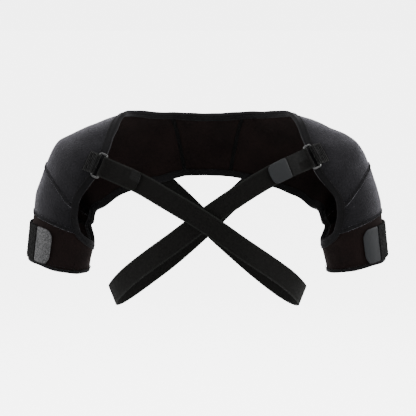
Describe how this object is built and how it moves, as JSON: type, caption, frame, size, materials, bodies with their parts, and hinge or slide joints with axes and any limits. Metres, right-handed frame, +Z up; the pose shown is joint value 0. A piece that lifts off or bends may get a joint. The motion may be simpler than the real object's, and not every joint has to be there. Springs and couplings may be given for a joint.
{
  "type": "double shoulder brace",
  "caption": "Neoprene yoke over both shoulders with a sleeve and cuff on each upper arm and crossing webbing straps, in the shape it has when worn.",
  "frame": {"origin": "midway between the two neck corners of the yoke, in the middle plane of the shoulders, where the brace sits on its wearer", "axes": "+Z up, -Y the way the wearer faces, +X the wearer's left"},
  "size_m": [0.508, 0.1995, 0.2808],
  "materials": {
    "outer_cloth": "charcoal nylon-faced neoprene with a soft sheen",
    "cuff_cloth": "matt near-black loop-faced neoprene",
    "binding_tape": "matt dark grey folded tape",
    "pile": "black hook and loop pile",
    "light_pile": "grey brushed pile",
    "grip": "smooth dark blue-grey grip tab",
    "anchor_webbing": "ribbed dark webbing",
    "ring": "glossy black moulded plastic",
    "strap_webbing": "matt black woven elastic webbing"
  },
  "bodies": {
    "root": {"yoke_panel": "outer_cloth", "shoulder_panel_left": "outer_cloth", "shoulder_panel_right": "outer_cloth", "sleeve_panel_left": "outer_cloth", "sleeve_panel_right": "outer_cloth", "cuff_left": "cuff_cloth", "cuff_right": "cuff_cloth", "cuff_hem_left": "binding_tape", "cuff_hem_right": "binding_tape", "neck_binding": "binding_tape", "lower_binding": "binding_tape", "cuff_strip_left": "pile", "cuff_strip_right": "pile", "cuff_grip_left": "grip", "cuff_grip_right": "light_pile", "anchor_left": "anchor_webbing", "anchor_right": "anchor_webbing", "ring_left": "ring", "ring_right": "ring", "strap_left": "strap_webbing", "strap_right": "strap_webbing", "strap_grip_left": "grip"}
  },
  "joints": []
}
